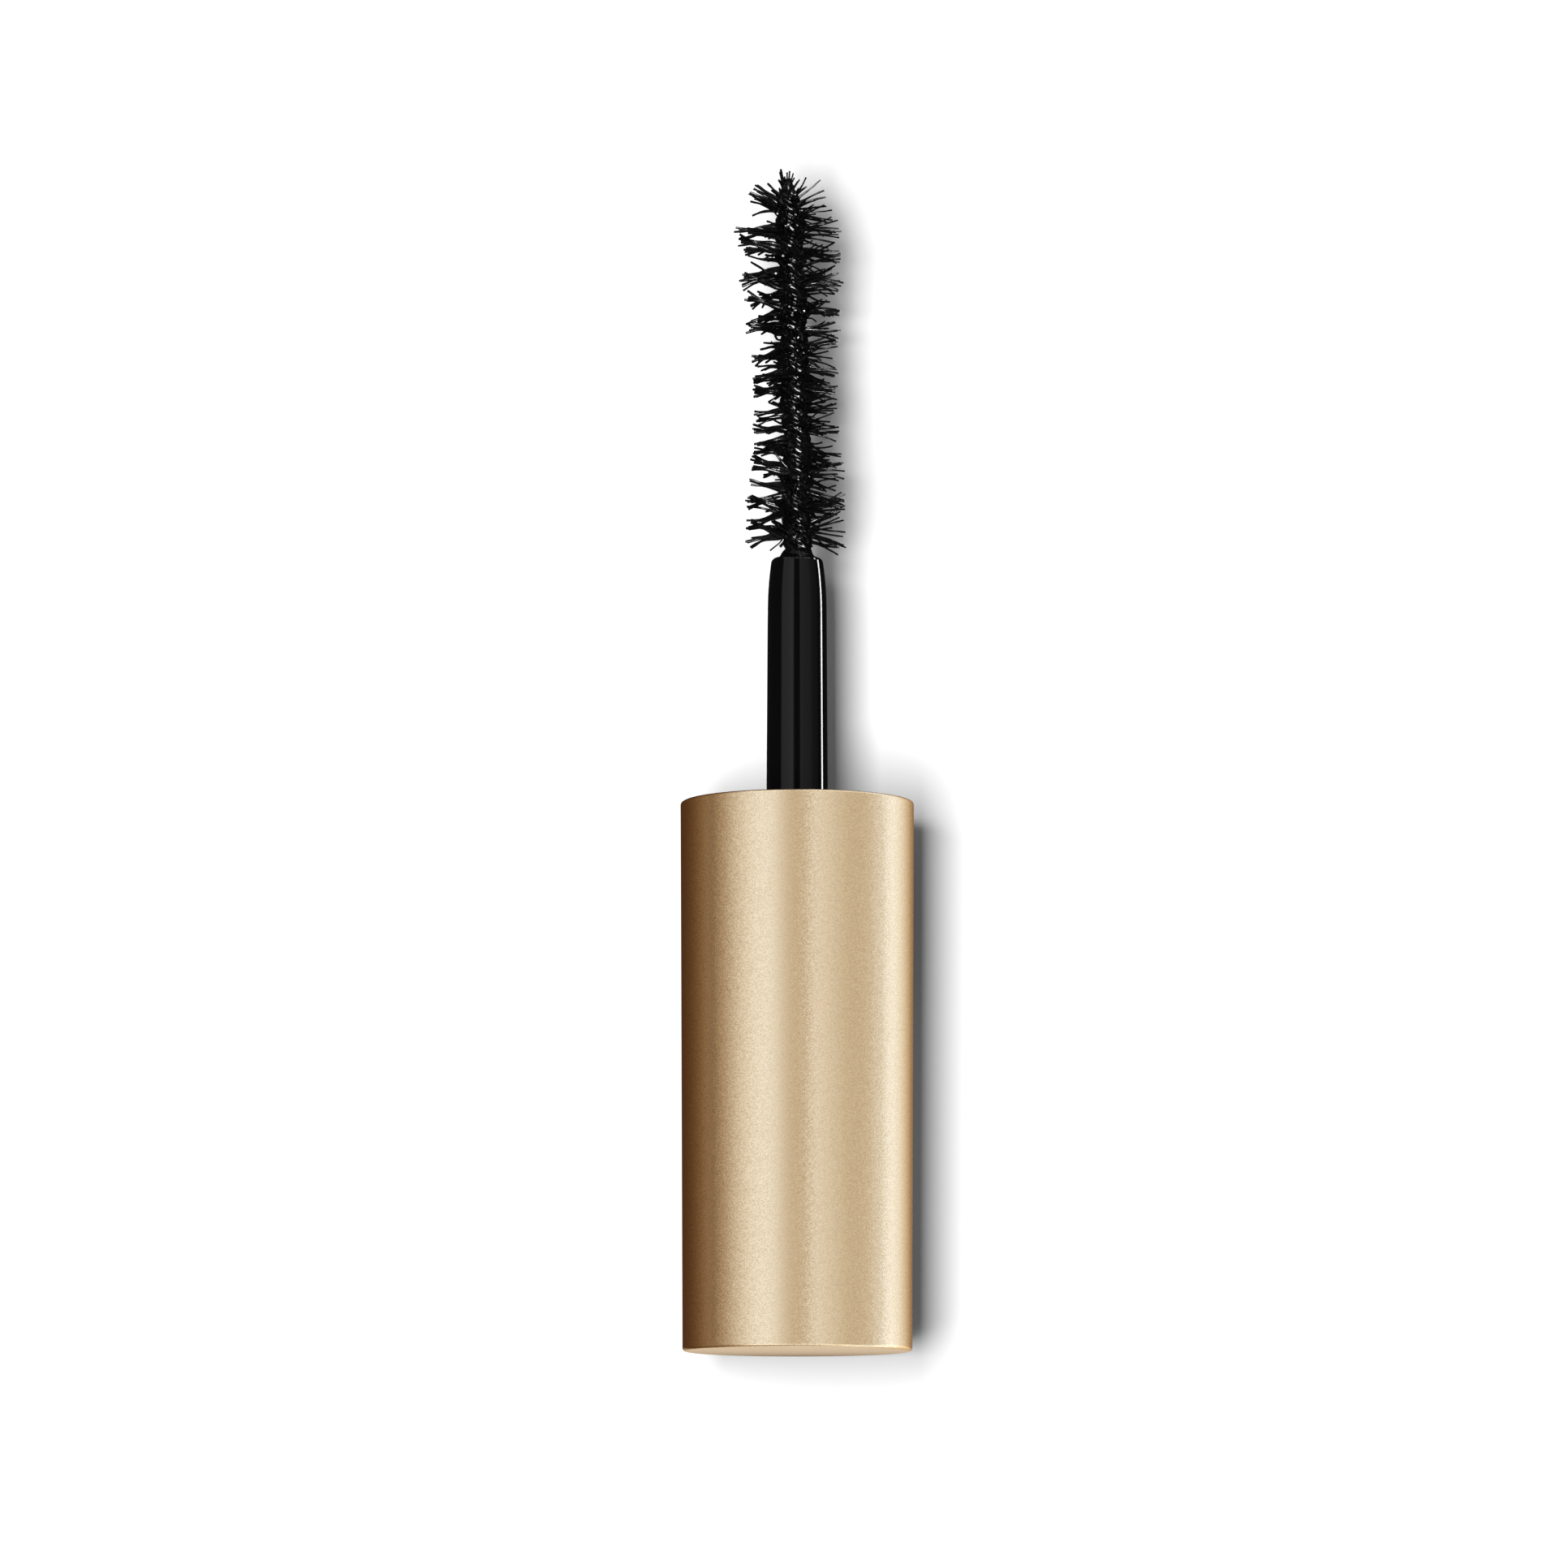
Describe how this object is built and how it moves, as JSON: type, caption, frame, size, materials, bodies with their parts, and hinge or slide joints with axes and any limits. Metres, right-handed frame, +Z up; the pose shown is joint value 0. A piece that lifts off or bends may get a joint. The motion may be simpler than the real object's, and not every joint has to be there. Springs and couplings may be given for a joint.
{
  "type": "mascara applicator",
  "caption": "Mascara applicator: a straight-sided round screw cap with a thin tapered stem and an hourglass twisted-wire brush, lying on its side.",
  "frame": {"origin": "on the surface that the cap lies on, under the middle of the applicator's length", "axes": "+Y along the cap and stem, from the closed end to the brush's tip; +Z up"},
  "size_m": [0.017, 0.087, 0.017],
  "materials": {
    "gold_lacquer": "satin metallic lacquer with a fine grain, pale gold, over moulded ABS",
    "liner_plastic": "moulded black polypropylene",
    "weight_steel": "turned and zinc plated",
    "gasket_foam": "cut from expanded polyethylene sheet",
    "stem_plastic": "polished black moulding",
    "wire_steel": "drawn stainless wire, coated with dried product",
    "bristle_nylon": "black nylon filament, wet with product"
  },
  "bodies": {
    "root": {"outer_cap": "gold_lacquer", "inner_cap": "liner_plastic", "cap_weight": "weight_steel", "neck_gasket": "gasket_foam", "stem": "stem_plastic", "brush_wire": "wire_steel", "bristles": "bristle_nylon"}
  },
  "joints": []
}
